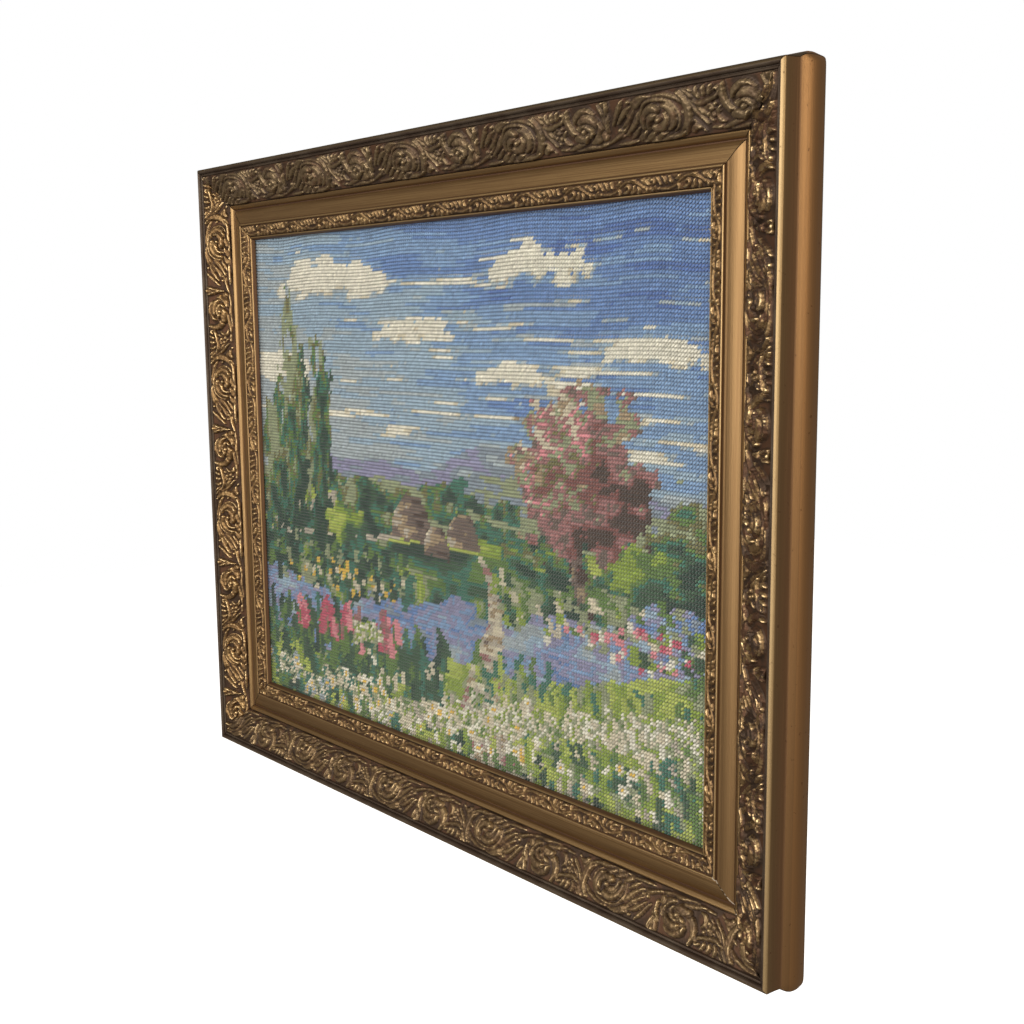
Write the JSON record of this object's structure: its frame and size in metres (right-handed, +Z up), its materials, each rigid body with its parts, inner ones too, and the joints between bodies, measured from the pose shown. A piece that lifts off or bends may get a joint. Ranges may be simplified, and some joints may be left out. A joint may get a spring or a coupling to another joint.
{
  "type": "framed needlepoint picture",
  "caption": "Stretched needlepoint canvas in a deep gilt moulding frame with a sloping band of raised scrollwork and a rolled outer side.",
  "frame": {"origin": "middle of the top rail's flat back, where the picture bears on its wall", "axes": "+Z up, +X to the viewer's right, the picture faces -Y and its back lies in the plane Y = 0"},
  "size_m": [0.6326, 0.0351, 0.5175],
  "materials": {
    "gilt_moulding": "antique gilt on wood",
    "gilt_scrollwork": "antique gilt over a dark brown ground",
    "needlepoint_yarn": "matte wool tent stitch",
    "backing_board": "plain brown hardboard"
  },
  "bodies": {
    "root": {"rail_top": "gilt_moulding", "rail_right": "gilt_moulding", "rail_bottom": "gilt_moulding", "rail_left": "gilt_moulding", "needlepoint_canvas": "needlepoint_yarn", "backing_board": "backing_board", "scroll_top_1": "gilt_scrollwork", "scroll_top_2": "gilt_scrollwork", "scroll_top_3": "gilt_scrollwork", "scroll_top_4": "gilt_scrollwork", "scroll_top_5": "gilt_scrollwork", "scroll_top_6": "gilt_scrollwork", "scroll_top_7": "gilt_scrollwork", "scroll_top_8": "gilt_scrollwork", "scroll_top_9": "gilt_scrollwork", "scroll_right_1": "gilt_scrollwork", "scroll_right_2": "gilt_scrollwork", "scroll_right_3": "gilt_scrollwork", "scroll_right_4": "gilt_scrollwork", "scroll_right_5": "gilt_scrollwork", "scroll_right_6": "gilt_scrollwork", "scroll_right_7": "gilt_scrollwork", "scroll_bottom_1": "gilt_scrollwork", "scroll_bottom_2": "gilt_scrollwork", "scroll_bottom_3": "gilt_scrollwork", "scroll_bottom_4": "gilt_scrollwork", "scroll_bottom_5": "gilt_scrollwork", "scroll_bottom_6": "gilt_scrollwork", "scroll_bottom_7": "gilt_scrollwork", "scroll_bottom_8": "gilt_scrollwork", "scroll_bottom_9": "gilt_scrollwork", "scroll_left_1": "gilt_scrollwork", "scroll_left_2": "gilt_scrollwork", "scroll_left_3": "gilt_scrollwork", "scroll_left_4": "gilt_scrollwork", "scroll_left_5": "gilt_scrollwork", "scroll_left_6": "gilt_scrollwork", "scroll_left_7": "gilt_scrollwork"}
  },
  "joints": []
}
